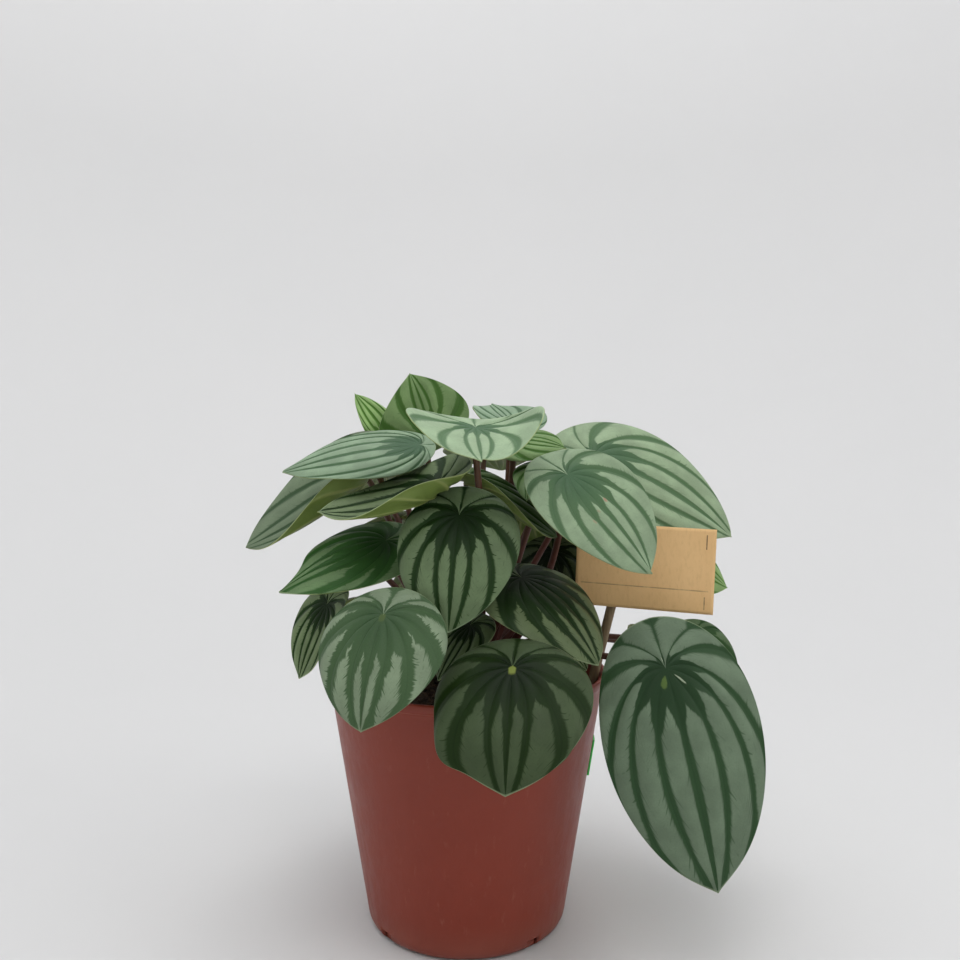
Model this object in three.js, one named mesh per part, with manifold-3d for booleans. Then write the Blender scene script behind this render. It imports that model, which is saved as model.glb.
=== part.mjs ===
// Potted peperomia: a nursery pot with soil, one crown of red petioles, broad peltate
// leaves, and a small card on a round stick. Millimetres, +Z up. The origin is the
// centre of the pot's flat underside.
import * as THREE from 'three';
import { mergeVertices } from 'three/addons/utils/BufferGeometryUtils.js';
import Module from 'manifold-3d';

const wasm = await Module();
wasm.setup();

// ---------------------------------------------------------------- driving dimensions
const FIT_GAP = 0.3;            // clearance between pieces that touch

const POT_HEIGHT = 108;
const POT_RIM_RADIUS = 60;      // outside of the lip at the top
const POT_FOOT_RADIUS = 39;     // flat underside
const POT_WALL_FOOT_RADIUS = 43; // wall just above the rounded foot corner
const POT_FOOT_HEIGHT = 6;
const POT_LIP_HEIGHT = 4;
const POT_LIP_STEP = 0.8;       // how far the lip stands out from the wall
const POT_WALL = 1.4;
const POT_SIDES = 40;
const NOTCH_COUNT = 4;          // drain notches round the foot corner
const NOTCH_WIDTH = 7.5;
const NOTCH_HEIGHT = 5;
const NOTCH_PHASE = -50;        // degrees, direction of the first notch from +X

const SOIL_TOP = 97;
const SOIL_RIPPLE = 1.3;        // height of the lumps in the soil
const SOIL_SIDES = 30;
const SOIL_RINGS = 6;
const SOIL_WALL_GAP = 0.9;      // soil to the pot's inside wall
const SOIL_FLOOR_GAP = 1.2;     // soil to the pot's floor
const STICK_DEPTH = 30;         // length of the stick's hole along its axis

const CROWN_RADIUS = 8;
const CROWN_BOTTOM = 86;        // set into the soil
const CROWN_TOP = 105;
const PETIOLE_RADIUS = 1.5;
const PETIOLE_LEAN = 0.35;      // outward share of the direction in which it leaves the crown
const PETIOLE_RISE = 0.45;      // share of its span over which it keeps that direction
const PETIOLE_SIDES = 6;
const PETIOLE_STEPS = 6;
const PETIOLE_ARRIVAL = 9;      // how far it runs square to the blade before it meets it
const PETIOLE_SINK = 4;         // how deep a petiole starts inside the crown

const BLADE_THICKNESS = 0.9;
const BLADE_SPOKES = 20;
const BLADE_RINGS = [0.4, 0.75, 1];
const BLADE_BACK = 0.33;        // reach behind the petiole, as a share of the front
const BLADE_POINT = 0.6;        // higher is more sharply pointed
const DRIP_DEPTH = 0.55;        // how far the very tip is drawn in
const DRIP_SPREAD = 0.4;        // radians of the margin that it takes
const VEIN_SWEEP = 1.6;         // how strongly the veins turn towards the tip
const VEIN_REACH = 0.5;         // how far a vein keeps its first direction

const CARD_WIDTH = 57;
const CARD_HEIGHT = 35;
const CARD_THICKNESS = 0.8;
const CARD_CENTRE = [74, -15.2, 153.5];
const CARD_TURN = 16;           // degrees, the right edge comes forward
const CARD_TILT = -2;         // degrees, clockwise
const STICK_RADIUS = 2;
const STICK_FOOT = [50, -6.8, 88];
const STICK_HEAD = [67.5, -9.8, 162];

const STICKER_ANGLE = 3;        // degrees from +X
const STICKER_SPAN = 24;        // degrees round the wall
const STICKER_BOTTOM = 63;
const STICKER_HEIGHT = 15;
const STICKER_THICKNESS = 0.6;

// Each leaf: where the petiole meets the blade, where its point is, the width across,
// the roll of the face about the midrib, the bow of the midrib from petiole to point,
// and how far the left and right halves turn down (positive) or up, all in degrees.
const LEAVES = {
  a: {
    at: [-44.6, 2, 192], tip: [-93, -8, 161], width: 58, roll: -32, bow: -24, left: -100, right: -15,
  },
  b: {
    at: [-19.4, -17, 204], tip: [-73.4, -25, 193.2], width: 38, roll: -26, bow: 18, left: 16,
    right: 8, back: 0.12, sway: [4, 0, 0],
  },
  c: {
    at: [-12.2, -40, 187.6], tip: [-55.6, -48, 179.4], width: 41.5, roll: -34, bow: -44, left: -105,
    right: 16, back: 0.4,
  },
  d: {
    at: [-34, 24, 205], tip: [-51.4, 28, 227], width: 16, roll: -60, bow: 16, left: -20, right: -20,
  },
  e: {
    at: [-17, 26, 209.5], tip: [-26, 24, 236], width: 49, roll: -72, bow: 20, left: 14, right: 14,
    point: 0.9, sway: [0, 18, 0],
  },
  g: {
    at: [4, -44, 211], tip: [6.5, -76, 199.5], width: 56, roll: -8, bow: 4, left: -60, right: -20,
    sway: [12, -18, 0],
  },
  h: { at: [20, 8, 213], tip: [11, 26, 222], width: 36, roll: 0, bow: 16, left: -20, right: -20 },
  i: {
    at: [19, -14, 206], tip: [41, -18, 203], width: 26, roll: 30, bow: 24, left: 14, right: 18,
    sway: [0, 4, 0],
  },
  j: { at: [57, 14, 199], tip: [115, 4, 164], width: 57, roll: 46, bow: 36, left: 12, right: 16 },
  k: {
    at: [39.2, -46, 193], tip: [68.3, -60, 157.5], width: 48.5, roll: 25, bow: 30, left: -12,
    right: 12, point: 0.45, back: 0.3, sway: [32, 12, 0],
  },
  l: {
    at: [-1.9, -51.5, 178.3], tip: [-5.4, -68.5, 137.8], width: 48, roll: 0, bow: 34, left: 24,
    right: 24, point: 0.42,
  },
  m: {
    at: [-33, -20, 165], tip: [-73.5, -34, 146.3], width: 42, roll: -30, bow: 26, left: 12, right: 25,
    nick: [0.36, 0.16, 0.15],
  },
  n: {
    at: [-59.3, -6, 136], tip: [-70.3, -12, 106], width: 32, roll: -20, bow: 20, left: -30, right: 10,
  },
  o: {
    at: [-28.4, -73, 144.6], tip: [-34.6, -89, 108.3], width: 51.5, roll: 0, bow: 44, left: 30,
    right: 30, point: 0.45, sway: [-4, 0, 0],
  },
  p: {
    at: [17, -83, 128.3], tip: [14, -107, 93.2], width: 57, roll: 4, bow: 46, left: 30, right: 28,
    point: 0.35, back: 0.42, nick: [0.5, 0.08, -0.12],
  },
  q: { at: [22, -42, 153], tip: [49, -62, 124], width: 50, roll: 8, bow: 40, left: 14, right: 26 },
  r: {
    at: [77.3, -45, 118.5], tip: [94, -62, 39], width: 65, roll: 40, bow: 30, left: 20, right: 20,
    point: 0.4, back: 0.25, nick: [0.78, 0.14, 0.08],
  },
  s: { at: [99, 4, 116.5], tip: [108, -2, 83], width: 46, roll: 30, bow: 30, left: 20, right: 20 },
  t: { at: [92, 30, 154], tip: [121, 32, 137], width: 40, roll: 40, bow: 30, left: 16, right: 16 },
  u: {
    at: [1.5, -24, 190], tip: [35.8, -37, 168.6], width: 32, roll: 20, bow: -6, left: 4,
    right: -102, back: 0.18,
  },
  v: { at: [2, -40, 134], tip: [-10, -52, 116], width: 26, roll: 0, bow: 24, left: 12, right: 12 },
  x: { at: [38, -26, 125], tip: [48, -34, 115], width: 18, roll: 20, bow: 20, left: 12, right: 12 },
  y: { at: [32, -18, 195], tip: [24, -36, 183], width: 22, roll: -10, bow: 24, left: 12, right: 12 },
  back_a: { at: [-34, 50, 168], tip: [-54, 80, 138], width: 46, roll: 0, bow: 36, left: 20, right: 20 },
  back_b: { at: [-2, 62, 176], tip: [-4, 96, 148], width: 44, roll: 0, bow: 36, left: 20, right: 20 },
  back_d: { at: [-52, 28, 160], tip: [-80, 46, 132], width: 44, roll: 0, bow: 36, left: 20, right: 20 },
  back_e: { at: [-14, 66, 142], tip: [-20, 92, 106], width: 50, roll: 0, bow: 40, left: 24, right: 24 },
  back_f: { at: [38, 66, 132], tip: [52, 90, 98], width: 46, roll: 0, bow: 40, left: 24, right: 24 },
  back_g: { at: [8, 44, 203], tip: [16, 74, 190], width: 44, roll: 0, bow: 24, left: 14, right: 14 },
  back_h: { at: [34, 42, 178], tip: [42, 66, 140], width: 46, roll: 0, bow: 24, left: 14, right: 14 },
  back_i: {
    at: [-42, 42, 190], tip: [-60, 68, 172], width: 38, roll: 0, bow: 24, left: 14, right: 14,
    sway: [0, -8, 0],
  },
  back_j: { at: [-50, 50, 128], tip: [-64, 74, 98], width: 44, roll: 0, bow: 36, left: 20, right: 20 },
  back_k: { at: [90, 36, 112], tip: [108, 46, 76], width: 40, roll: 0, bow: 36, left: 20, right: 20 },
};

// ---------------------------------------------------------------------- small helpers
const radians = THREE.MathUtils.degToRad;

function vector(list) {
  return new THREE.Vector3(list[0], list[1], list[2]);
}

function material(color, roughness) {
  return new THREE.MeshStandardMaterial({ color, roughness, metalness: 0 });
}

function solidOf(geometry) {
  const bare = geometry.clone();
  bare.deleteAttribute('normal');
  bare.deleteAttribute('uv');
  const merged = mergeVertices(bare, 1e-4);
  return new wasm.Manifold(new wasm.Mesh({
    numProp: 3,
    vertProperties: new Float32Array(merged.attributes.position.array),
    triVerts: new Uint32Array(merged.index.array),
  }));
}

function geometryOf(solid) {
  const mesh = solid.getMesh();
  const geometry = new THREE.BufferGeometry();
  geometry.setAttribute('position', new THREE.BufferAttribute(mesh.vertProperties, 3));
  geometry.setIndex(new THREE.BufferAttribute(mesh.triVerts, 1));
  geometry.computeVertexNormals();
  return geometry;
}

function piece(name, geometry, finish) {
  const mesh = new THREE.Mesh(geometry, finish);
  mesh.name = name;
  return mesh;
}

function lathe(profile, sides) {
  const points = profile.map(([radius, height]) => new THREE.Vector2(radius, height));
  return new THREE.LatheGeometry(points, sides).rotateX(Math.PI / 2);
}

function rod(from, to, radius, sides) {
  const start = vector(from);
  const along = vector(to).sub(start);
  const geometry = new THREE.CylinderGeometry(radius, radius, along.length(), sides);
  geometry.translate(0, along.length() / 2, 0);
  const turn = new THREE.Quaternion().setFromUnitVectors(
    new THREE.Vector3(0, 1, 0), along.clone().normalize());
  return geometry.applyQuaternion(turn).translate(start.x, start.y, start.z);
}

// ------------------------------------------------------------------------------- pot
const LIP_BOTTOM = POT_HEIGHT - POT_LIP_HEIGHT;
const LIP_ROUND = 0.6;
const WALL_TOP_RADIUS = POT_RIM_RADIUS - POT_LIP_STEP;
const WALL_SLOPE = (WALL_TOP_RADIUS - POT_WALL_FOOT_RADIUS) / (POT_HEIGHT - POT_FOOT_HEIGHT);

function wallRadius(height) {
  return POT_WALL_FOOT_RADIUS + WALL_SLOPE * (height - POT_FOOT_HEIGHT);
}

function potShell() {
  return lathe([
    [0, 0],
    [POT_FOOT_RADIUS, 0],
    [POT_FOOT_RADIUS + 2.6, 1.6],
    [POT_WALL_FOOT_RADIUS, POT_FOOT_HEIGHT],
    [wallRadius(LIP_BOTTOM), LIP_BOTTOM],
    [wallRadius(LIP_BOTTOM) + POT_LIP_STEP, LIP_BOTTOM + LIP_ROUND],
    [POT_RIM_RADIUS, POT_HEIGHT - LIP_ROUND],
    [POT_RIM_RADIUS - LIP_ROUND, POT_HEIGHT],
    [WALL_TOP_RADIUS - POT_WALL, POT_HEIGHT - LIP_ROUND],
    [POT_WALL_FOOT_RADIUS - POT_WALL, POT_FOOT_HEIGHT],
    [POT_FOOT_RADIUS, POT_WALL + LIP_ROUND],
    [0, POT_WALL],
  ], POT_SIDES);
}

function pot() {
  let shell = solidOf(potShell());
  for (let i = 0; i < NOTCH_COUNT; i += 1) {
    const notch = new THREE.BoxGeometry(8, NOTCH_WIDTH, NOTCH_HEIGHT * 2);
    notch.translate(POT_WALL_FOOT_RADIUS + 1.2, 0, 0);
    notch.rotateZ(radians(NOTCH_PHASE + (360 / NOTCH_COUNT) * i));
    shell = shell.subtract(solidOf(notch));
  }
  return piece('pot', geometryOf(shell), material(0x8a4a3c, 0.5));
}

// ------------------------------------------------------------------------------ soil
function soilHeight(x, y) {
  const lumps = Math.sin(x * 0.31 + 1) * Math.cos(y * 0.27) + Math.sin(x * 0.13 - y * 0.37);
  return SOIL_TOP + SOIL_RIPPLE * lumps;
}

function soilBody() {
  const wallAt = (height) => wallRadius(height) - POT_WALL - SOIL_WALL_GAP;
  const topRadius = wallAt(SOIL_TOP - 1);
  const positions = [];
  const triangles = [];
  positions.push(0, 0, soilHeight(0, 0));
  for (let ring = 1; ring <= SOIL_RINGS; ring += 1) {
    for (let side = 0; side < SOIL_SIDES; side += 1) {
      const angle = (2 * Math.PI * side) / SOIL_SIDES;
      const radius = (topRadius * ring) / SOIL_RINGS;
      const x = radius * Math.cos(angle);
      const y = radius * Math.sin(angle);
      positions.push(x, y, ring === SOIL_RINGS ? SOIL_TOP - 1 : soilHeight(x, y));
    }
  }
  const floorHeight = POT_WALL + SOIL_FLOOR_GAP;
  const floorRadius = POT_FOOT_RADIUS - 1.5;
  for (const [radius, height] of [
    [wallAt(POT_FOOT_HEIGHT + 4), POT_FOOT_HEIGHT + 4],
    [floorRadius, floorHeight]]) {
    for (let side = 0; side < SOIL_SIDES; side += 1) {
      const angle = (2 * Math.PI * side) / SOIL_SIDES;
      positions.push(radius * Math.cos(angle), radius * Math.sin(angle), height);
    }
  }
  const rings = SOIL_RINGS + 2;
  const last = 1 + rings * SOIL_SIDES;
  positions.push(0, 0, floorHeight);
  const at = (ring, side) => 1 + (ring - 1) * SOIL_SIDES + (side % SOIL_SIDES);
  for (let side = 0; side < SOIL_SIDES; side += 1) {
    triangles.push(0, at(1, side), at(1, side + 1));
    for (let ring = 1; ring < rings; ring += 1) {
      triangles.push(at(ring, side), at(ring + 1, side), at(ring + 1, side + 1));
      triangles.push(at(ring, side), at(ring + 1, side + 1), at(ring, side + 1));
    }
    triangles.push(last, at(rings, side + 1), at(rings, side));
  }
  const geometry = new THREE.BufferGeometry();
  geometry.setAttribute('position', new THREE.Float32BufferAttribute(positions, 3));
  geometry.setIndex(triangles);
  return geometry;
}

function soil() {
  const crownHole = rod([0, 0, CROWN_BOTTOM - FIT_GAP], [0, 0, CROWN_TOP],
    CROWN_RADIUS + FIT_GAP, 16);
  const foot = vector(STICK_FOOT);
  const along = vector(STICK_HEAD).sub(foot).normalize();
  const stickHole = rod(foot.clone().addScaledVector(along, -FIT_GAP).toArray(),
    foot.clone().addScaledVector(along, STICK_DEPTH).toArray(), STICK_RADIUS + FIT_GAP, 10);
  const body = solidOf(soilBody()).subtract(solidOf(crownHole)).subtract(solidOf(stickHole));
  return piece('soil', geometryOf(body), material(0x2b211c, 0.95));
}

// ------------------------------------------------------------------------ leaf blades
// The frame of a blade: y runs from the petiole to the point, z is the upper face.
function bladeFrame(leaf) {
  const origin = vector(leaf.at);
  const chord = vector(leaf.tip).sub(origin);
  const along = chord.clone().normalize();
  const upright = new THREE.Vector3(0, 0, 1);
  const level = upright.addScaledVector(along, -along.z).normalize();
  const normal = level.applyAxisAngle(along, radians(leaf.roll));
  const across = new THREE.Vector3().crossVectors(along, normal);
  return { origin, along, normal, across, chord: chord.length() };
}

// The margin is an oval drawn out to a point, with round 0 at the point and 180 degrees
// at the back. A nick pulls the margin in: [turn, spread, depth] as shares.
function marginPoint(leaf, front, turn) {
  const back = front * (leaf.back ?? BLADE_BACK);
  const point = leaf.point ?? BLADE_POINT;
  const round = Math.PI * Math.sign(turn) * Math.abs(turn) ** VEIN_SWEEP;
  const widest = ((2 * Math.sqrt(1 + point)) / (2 + point))
    * ((1 + point) / (2 + point)) ** (point / 2);
  const draw = 1 - DRIP_DEPTH * Math.exp(-((round / DRIP_SPREAD) ** 2));
  const half = (leaf.width / 2 / widest) * Math.sin(round)
    * Math.abs(Math.sin(round / 2)) ** point * draw;
  const length = (front - back) / 2 + ((front + back) / 2) * Math.cos(round);
  const [centre, spread, depth] = leaf.nick ?? [0, 1, 0];
  const keep = 1 - depth * Math.exp(-(((turn - centre) / spread) ** 2));
  return [half * keep, length * keep];
}

// A point of the flat leaf on the vein numbered by turn (-1 to 1, 0 is the midrib), at
// share reach of its way from the petiole to the margin.
function flatPoint(leaf, front, turn, reach) {
  const [half, length] = marginPoint(leaf, front, turn);
  const steer = VEIN_REACH * Math.hypot(half, length);
  const bend = 2 * reach * (1 - reach) * steer;
  return {
    x: bend * Math.sin(Math.PI * turn) + reach * reach * half,
    y: bend * Math.cos(Math.PI * turn) + reach * reach * length,
  };
}

// The blade's middle surface: the midrib is an arc, and each half rolls round it.
function bladePoint(leaf, frame, turn, reach) {
  const bow = radians(leaf.bow);
  const arc = frame.chord / (2 * Math.sin(bow / 2));
  const flat = flatPoint(leaf, arc * bow, turn, reach);
  const lean = flat.y / arc - bow / 2;
  const fold = radians(flat.x < 0 ? leaf.left : leaf.right);
  const curl = fold / (leaf.width / 2);
  const swing = curl * Math.abs(flat.x);
  const out = Math.sign(flat.x) * Math.sin(swing) / curl;
  const drop = (1 - Math.cos(swing)) / curl;
  const point = frame.origin.clone()
    .addScaledVector(frame.along, arc * (Math.sin(lean) + Math.sin(bow / 2)))
    .addScaledVector(frame.normal, arc * (Math.cos(lean) - Math.cos(bow / 2)));
  const upper = frame.normal.clone().multiplyScalar(Math.cos(lean))
    .addScaledVector(frame.along, Math.sin(lean));
  point.addScaledVector(frame.across, out).addScaledVector(upper, -drop);
  const face = upper.multiplyScalar(Math.cos(swing))
    .addScaledVector(frame.across, Math.sign(flat.x) * Math.sin(swing));
  return { point, face };
}

function bladeGeometry(leaf) {
  const frame = bladeFrame(leaf);
  const upper = [];
  const lower = [];
  const addPair = (turn, reach) => {
    const { point, face } = bladePoint(leaf, frame, turn, reach);
    upper.push(point.clone().addScaledVector(face, BLADE_THICKNESS / 2));
    lower.push(point.clone().addScaledVector(face, -BLADE_THICKNESS / 2));
  };
  addPair(0, 0);
  for (const reach of BLADE_RINGS) {
    for (let spoke = 0; spoke < BLADE_SPOKES; spoke += 1) {
      addPair(-1 + (2 * spoke) / BLADE_SPOKES, reach);
    }
  }
  const count = upper.length;
  const at = (ring, spoke) => 1 + ring * BLADE_SPOKES + (spoke % BLADE_SPOKES);
  const triangles = [];
  const bothFaces = (a, b, c) => {
    triangles.push(a, c, b);
    triangles.push(count + a, count + b, count + c);
  };
  const rim = BLADE_RINGS.length - 1;
  for (let spoke = 0; spoke < BLADE_SPOKES; spoke += 1) {
    bothFaces(0, at(0, spoke), at(0, spoke + 1));
    for (let ring = 0; ring < rim; ring += 1) {
      bothFaces(at(ring, spoke), at(ring + 1, spoke), at(ring + 1, spoke + 1));
      bothFaces(at(ring, spoke), at(ring + 1, spoke + 1), at(ring, spoke + 1));
    }
    const here = at(rim, spoke);
    const next = at(rim, spoke + 1);
    triangles.push(here, next, count + next);
    triangles.push(here, count + next, count + here);
  }
  const positions = [...upper, ...lower].flatMap((corner) => corner.toArray());
  const geometry = new THREE.BufferGeometry();
  geometry.setAttribute('position', new THREE.Float32BufferAttribute(positions, 3));
  geometry.setIndex(triangles);
  geometry.computeVertexNormals();
  return geometry;
}

// --------------------------------------------------------------- crown and petioles
function petioleCurve(leaf) {
  const frame = bladeFrame(leaf);
  const end = bladePoint(leaf, frame, 0, 0);
  const arrive = end.face;
  const stop = end.point.clone().addScaledVector(arrive, -BLADE_THICKNESS / 2 - FIT_GAP);
  const side = Math.atan2(stop.y, stop.x);
  const rooted = CROWN_RADIUS - PETIOLE_SINK;
  const start = new THREE.Vector3(
    rooted * Math.cos(side), rooted * Math.sin(side), CROWN_TOP - 2 * PETIOLE_SINK);
  const span = stop.distanceTo(start);
  const leave = new THREE.Vector3(
    Math.cos(side) * PETIOLE_LEAN, Math.sin(side) * PETIOLE_LEAN, 1).normalize();
  const sway = vector(leaf.sway ?? [0, 0, 0]);
  return new THREE.CubicBezierCurve3(
    start,
    start.clone().addScaledVector(leave, span * PETIOLE_RISE).add(sway),
    stop.clone().addScaledVector(arrive, -PETIOLE_ARRIVAL),
    stop,
  );
}

function petioleGeometry(leaf) {
  const section = new THREE.Shape();
  for (let side = 0; side < PETIOLE_SIDES; side += 1) {
    const angle = (2 * Math.PI * side) / PETIOLE_SIDES;
    const x = PETIOLE_RADIUS * Math.cos(angle);
    const y = PETIOLE_RADIUS * Math.sin(angle);
    if (side === 0) section.moveTo(x, y);
    else section.lineTo(x, y);
  }
  section.closePath();
  return new THREE.ExtrudeGeometry(section, {
    steps: PETIOLE_STEPS, bevelEnabled: false, extrudePath: petioleCurve(leaf),
  });
}

function crown() {
  let body = solidOf(lathe([
    [0, CROWN_BOTTOM],
    [CROWN_RADIUS - 1, CROWN_BOTTOM],
    [CROWN_RADIUS, CROWN_BOTTOM + 4],
    [CROWN_RADIUS, CROWN_TOP - 5],
    [CROWN_RADIUS - 3, CROWN_TOP - 1],
    [0, CROWN_TOP],
  ], 12));
  for (const leaf of Object.values(LEAVES)) {
    body = body.add(solidOf(petioleGeometry(leaf)));
  }
  return piece('crown_and_petioles', geometryOf(body), material(0x6e2f2c, 0.5));
}

// ---------------------------------------------------------------- card, stick, label
function card() {
  const mesh = piece('tag_card', new THREE.BoxGeometry(CARD_WIDTH, CARD_THICKNESS, CARD_HEIGHT),
    material(0xb98a52, 0.85));
  mesh.position.set(...CARD_CENTRE);
  mesh.rotation.set(0, radians(-CARD_TILT), radians(-CARD_TURN), 'ZYX');
  return mesh;
}

function stick() {
  return piece('tag_stick', rod(STICK_FOOT, STICK_HEAD, STICK_RADIUS, 12),
    material(0x8d6f55, 0.8));
}

function sticker() {
  const steps = 6;
  const outline = new THREE.Shape();
  const spread = radians(STICKER_SPAN);
  const inner = wallRadius(STICKER_BOTTOM) + FIT_GAP;
  for (let i = 0; i <= steps; i += 1) {
    const angle = radians(STICKER_ANGLE) - spread / 2 + (spread * i) / steps;
    const point = [inner * Math.cos(angle), inner * Math.sin(angle)];
    if (i === 0) outline.moveTo(...point);
    else outline.lineTo(...point);
  }
  for (let i = steps; i >= 0; i -= 1) {
    const angle = radians(STICKER_ANGLE) - spread / 2 + (spread * i) / steps;
    const outer = inner + STICKER_THICKNESS;
    outline.lineTo(outer * Math.cos(angle), outer * Math.sin(angle));
  }
  outline.closePath();
  const geometry = new THREE.ExtrudeGeometry(outline,
    { depth: STICKER_HEIGHT, bevelEnabled: false, steps: 1 });
  geometry.translate(0, 0, STICKER_BOTTOM);
  const positions = geometry.attributes.position;
  for (let i = 0; i < positions.count; i += 1) {
    const lean = 1 + (WALL_SLOPE * (positions.getZ(i) - STICKER_BOTTOM)) / inner;
    positions.setXY(i, positions.getX(i) * lean, positions.getY(i) * lean);
  }
  return piece('pot_sticker', geometry, material(0x2fe35a, 0.5));
}

// -------------------------------------------------------------------------- assembly
const plant = new THREE.Group();
plant.add(pot(), soil(), crown(), card(), stick(), sticker());
const green = material(0x4f7a54, 0.45);
for (const [name, leaf] of Object.entries(LEAVES)) {
  plant.add(piece(`leaf_${name}`, bladeGeometry(leaf), green));
}

export default plant;
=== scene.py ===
"""Looks of a potted peperomia: fine leaves, petioles, soil, pot, card and stick.

Lengths in the tables are millimetres, as in the part's own source, and every Blender
object is in metres.
"""
import math
from collections import namedtuple

import bmesh
import bpy
import numpy as np
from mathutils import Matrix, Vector


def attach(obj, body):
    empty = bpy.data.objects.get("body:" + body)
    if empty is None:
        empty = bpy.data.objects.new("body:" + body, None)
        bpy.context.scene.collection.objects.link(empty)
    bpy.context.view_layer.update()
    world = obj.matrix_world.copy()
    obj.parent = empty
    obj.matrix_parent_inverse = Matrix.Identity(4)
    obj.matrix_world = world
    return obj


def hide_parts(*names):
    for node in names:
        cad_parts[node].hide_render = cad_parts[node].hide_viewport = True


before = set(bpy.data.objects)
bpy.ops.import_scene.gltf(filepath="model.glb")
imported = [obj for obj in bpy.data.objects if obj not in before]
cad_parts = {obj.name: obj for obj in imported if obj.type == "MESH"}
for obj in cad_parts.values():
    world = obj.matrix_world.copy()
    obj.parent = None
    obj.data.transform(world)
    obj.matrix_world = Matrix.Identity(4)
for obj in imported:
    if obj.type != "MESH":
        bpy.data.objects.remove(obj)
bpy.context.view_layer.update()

MM = 0.001
BODY = "root"

# --------------------- the part's own sizes
FIT_GAP = 0.3
POT_HEIGHT = 108
POT_RIM_RADIUS = 60
POT_FOOT_RADIUS = 39
POT_WALL_FOOT_RADIUS = 43
POT_FOOT_HEIGHT = 6
POT_LIP_HEIGHT = 4
POT_LIP_STEP = 0.8
POT_WALL = 1.4
NOTCH_COUNT = 4
NOTCH_HEIGHT = 5
NOTCH_INNER_RADIUS = 40.2
NOTCH_PHASE = -50
SOIL_TOP = 97
SOIL_RIPPLE = 1.3
SOIL_WALL_GAP = 0.9
CROWN_RADIUS = 8
CROWN_BOTTOM = 86
CROWN_TOP = 105
PETIOLE_LEAN = 0.35
PETIOLE_RISE = 0.45
PETIOLE_ARRIVAL = 9
PETIOLE_SINK = 4
CAD_THICKNESS = 0.9
DRIP_DEPTH = 0.55
DRIP_SPREAD = 0.4
VEIN_SWEEP = 1.6
CARD_WIDTH = 57
CARD_HEIGHT = 35
CARD_CENTRE = (74, -15.2, 153.5)
CARD_TURN = 16
CARD_TILT = -2
STICK_RADIUS = 2
STICK_FOOT = (50, -6.8, 88)
STICK_HEAD = (67.5, -9.8, 162)
STICKER_ANGLE = 3
STICKER_SPAN = 24
STICKER_BOTTOM = 63
STICKER_HEIGHT = 15
STICKER_THICKNESS = 0.6

LIP_BOTTOM = POT_HEIGHT - POT_LIP_HEIGHT
WALL_TOP_RADIUS = POT_RIM_RADIUS - POT_LIP_STEP
WALL_SLOPE = (WALL_TOP_RADIUS - POT_WALL_FOOT_RADIUS) / (POT_HEIGHT - POT_FOOT_HEIGHT)

# Each leaf: where the petiole meets the blade, where its point is, the width, the roll of
# the face, the bow of the midrib, and how far the left and right halves turn down, in
# degrees. The look names its colours, and the tone value darkens or brightens the whole
# leaf: partly for the leaf's own colour, and partly as painted shade on leaves that stand in
# shadow and painted light on leaves in the open. point is how far the front narrows, back is
# how far the blade reaches behind the petiole as a share of the front, nick is a shallow bay
# in the margin (turn, spread, depth), and sway bends the petiole.
Leaf = namedtuple(
    "Leaf", "look tone at tip width roll bow left right point back nick sway",
    defaults=(0.6, 0.33, (0, 1, 0), (0, 0, 0)))

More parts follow.
